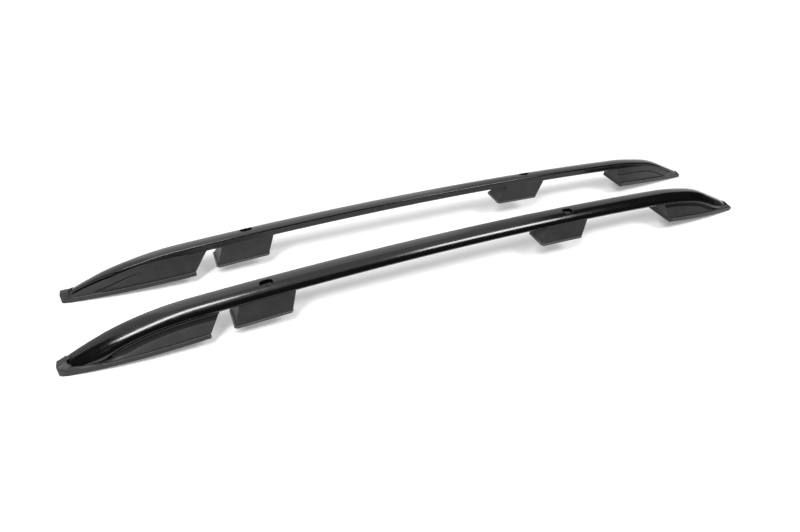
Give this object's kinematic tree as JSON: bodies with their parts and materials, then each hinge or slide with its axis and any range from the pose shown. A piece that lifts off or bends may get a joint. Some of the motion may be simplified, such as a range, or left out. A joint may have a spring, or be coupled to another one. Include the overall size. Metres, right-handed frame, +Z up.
{
  "type": "roof side rail pair",
  "caption": "Matched pair of arched roof side rails: gloss black oval bars on matt plastic end and middle feet, with bolt access slots.",
  "frame": {"origin": "midway between the two rails and their tips, on the floor that the tips stand on", "axes": "+X along the rails towards their rear ends, +Y from the left rail to the right one, +Z up"},
  "size_m": [1.5947, 0.2614, 0.1054],
  "materials": {
    "bar": "gloss black coating",
    "foot": "fine-grained matt black",
    "screw": "zinc plated"
  },
  "bodies": {
    "root": {"left_bar": "bar", "left_front_end_foot": "foot", "left_rear_end_foot": "foot", "left_front_mid_foot": "foot", "left_rear_mid_foot": "foot", "left_front_end_foot_screws": "screw", "left_rear_end_foot_screws": "screw", "left_front_mid_foot_screws": "screw", "left_rear_mid_foot_screws": "screw", "right_bar": "bar", "right_front_end_foot": "foot", "right_rear_end_foot": "foot", "right_front_mid_foot": "foot", "right_rear_mid_foot": "foot", "right_front_end_foot_screws": "screw", "right_rear_end_foot_screws": "screw", "right_front_mid_foot_screws": "screw", "right_rear_mid_foot_screws": "screw"}
  },
  "joints": []
}
